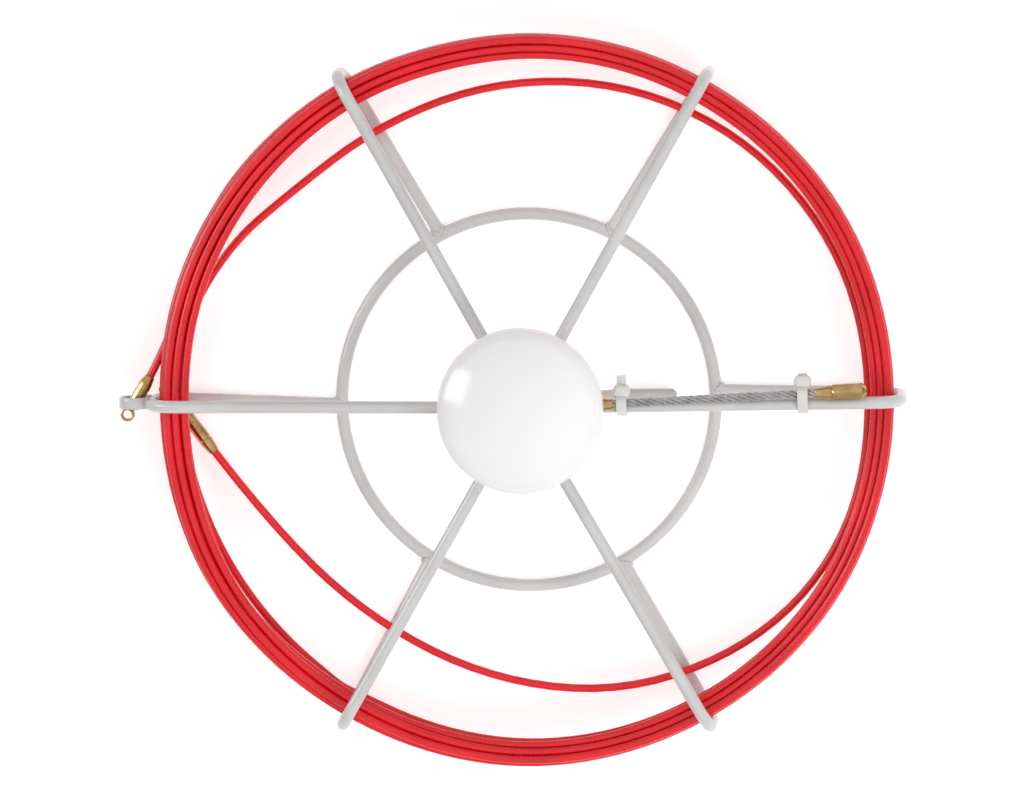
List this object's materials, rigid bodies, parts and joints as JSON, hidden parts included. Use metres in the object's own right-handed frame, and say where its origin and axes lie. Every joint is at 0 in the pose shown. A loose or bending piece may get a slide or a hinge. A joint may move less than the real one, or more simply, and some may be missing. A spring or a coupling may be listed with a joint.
{
  "type": "fish tape reel",
  "caption": "Hand reel for a fish rod: a round wire cage that turns about a knob and a bent axle, with the red rod coiled inside its brackets.",
  "frame": {"origin": "on the axis that the cage turns about, at the plane that the back of the cage rests on", "axes": "+Z along the axis towards the knob; +X towards the bracket that the leader is tied to, so -X points at the guide eye"},
  "size_m": [0.3351, 0.312, 0.0785],
  "materials": {
    "cage_coat": "gloss",
    "arm_coat": "gloss",
    "bush_nylon": "satin",
    "zinc_steel": "satin",
    "knob_plastic": "gloss",
    "brass": "satin",
    "rod_jacket": "gloss",
    "cable_steel": "bright",
    "tie_nylon": "satin"
  },
  "bodies": {
    "cage": {"back_ring": "cage_coat", "hub_tube": "cage_coat", "bracket_right": "cage_coat", "bracket_upper_right": "cage_coat", "bracket_upper_left": "cage_coat", "bracket_left": "cage_coat", "bracket_lower_left": "cage_coat", "bracket_lower_right": "cage_coat", "guide_eye": "cage_coat", "front_bush": "bush_nylon", "rear_bush": "bush_nylon", "fish_rod_coil": "rod_jacket", "fish_rod_lead": "rod_jacket", "fish_rod_loop": "rod_jacket", "fish_rod_tail": "rod_jacket", "lead_ferrule": "brass", "lead_eye": "brass", "tail_ferrule": "brass", "tail_eye": "brass", "leader_cable": "cable_steel", "leader_ferrule": "brass", "leader_tip": "brass", "cable_tie_inner": "tie_nylon", "cable_tie_outer": "tie_nylon"},
    "spindle": {"axle_arm": "arm_coat", "thrust_collar": "zinc_steel", "rear_washer": "zinc_steel", "front_washer": "zinc_steel", "lock_nut": "zinc_steel", "knob_insert": "brass", "knob_base": "knob_plastic", "knob_dome": "knob_plastic"}
  },
  "joints": [
    {"name": "spindle_turn", "type": "hinge", "parent": "cage", "child": "spindle", "pos_m": [0, 0, 0.0484], "axis": [0, 0, 1], "continuous": true}
  ]
}
